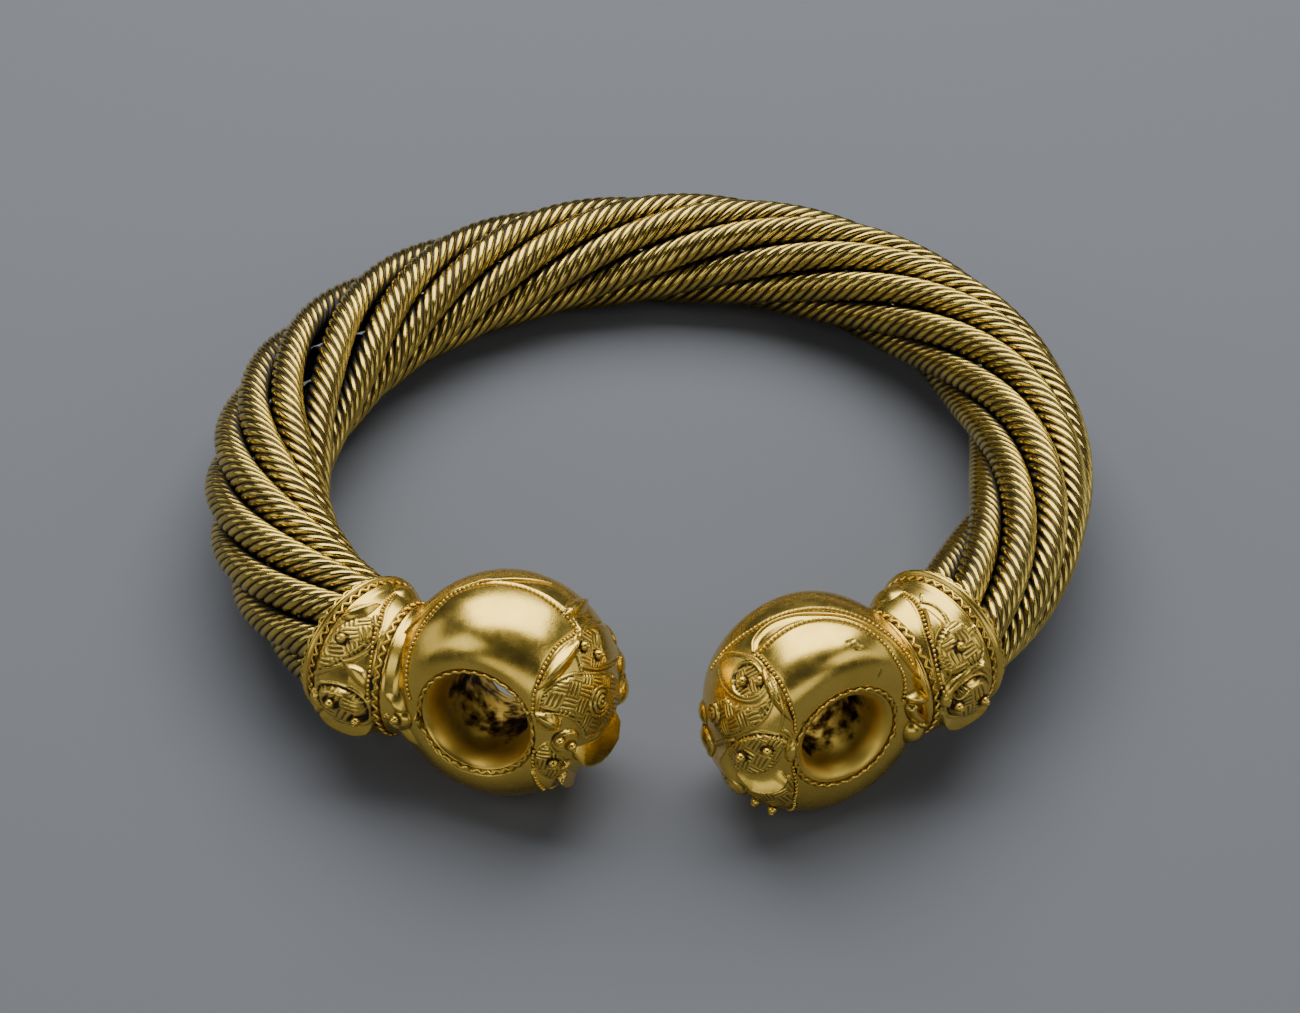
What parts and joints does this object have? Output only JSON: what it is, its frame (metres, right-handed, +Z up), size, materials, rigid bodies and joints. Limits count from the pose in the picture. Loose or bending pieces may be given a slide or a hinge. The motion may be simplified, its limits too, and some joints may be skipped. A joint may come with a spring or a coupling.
{
  "type": "torc",
  "caption": "Open neck ring of twisted gold wire ropes with large cast ring-shaped terminals decorated in relief, lying flat.",
  "frame": {"origin": "middle of the box around the torc, on the floor it lies on", "axes": "+Z up; -Y towards the gap between the terminals; +X towards the right terminal as seen from the front"},
  "size_m": [0.1972, 0.1998, 0.045],
  "materials": {
    "gold_wire": "twisted gold alloy wire, soft worn sheen, brown dirt between the wires",
    "gold_cast": "cast gold alloy, polished on the raised parts, fine scratches and small pits, brown dirt in the hollows"
  },
  "bodies": {
    "root": {"rope_1": "gold_wire", "rope_2": "gold_wire", "rope_3": "gold_wire", "rope_4": "gold_wire", "rope_5": "gold_wire", "rope_6": "gold_wire", "rope_7": "gold_wire", "rope_8": "gold_wire", "terminal_left": "gold_cast", "terminal_right": "gold_cast"}
  },
  "joints": []
}
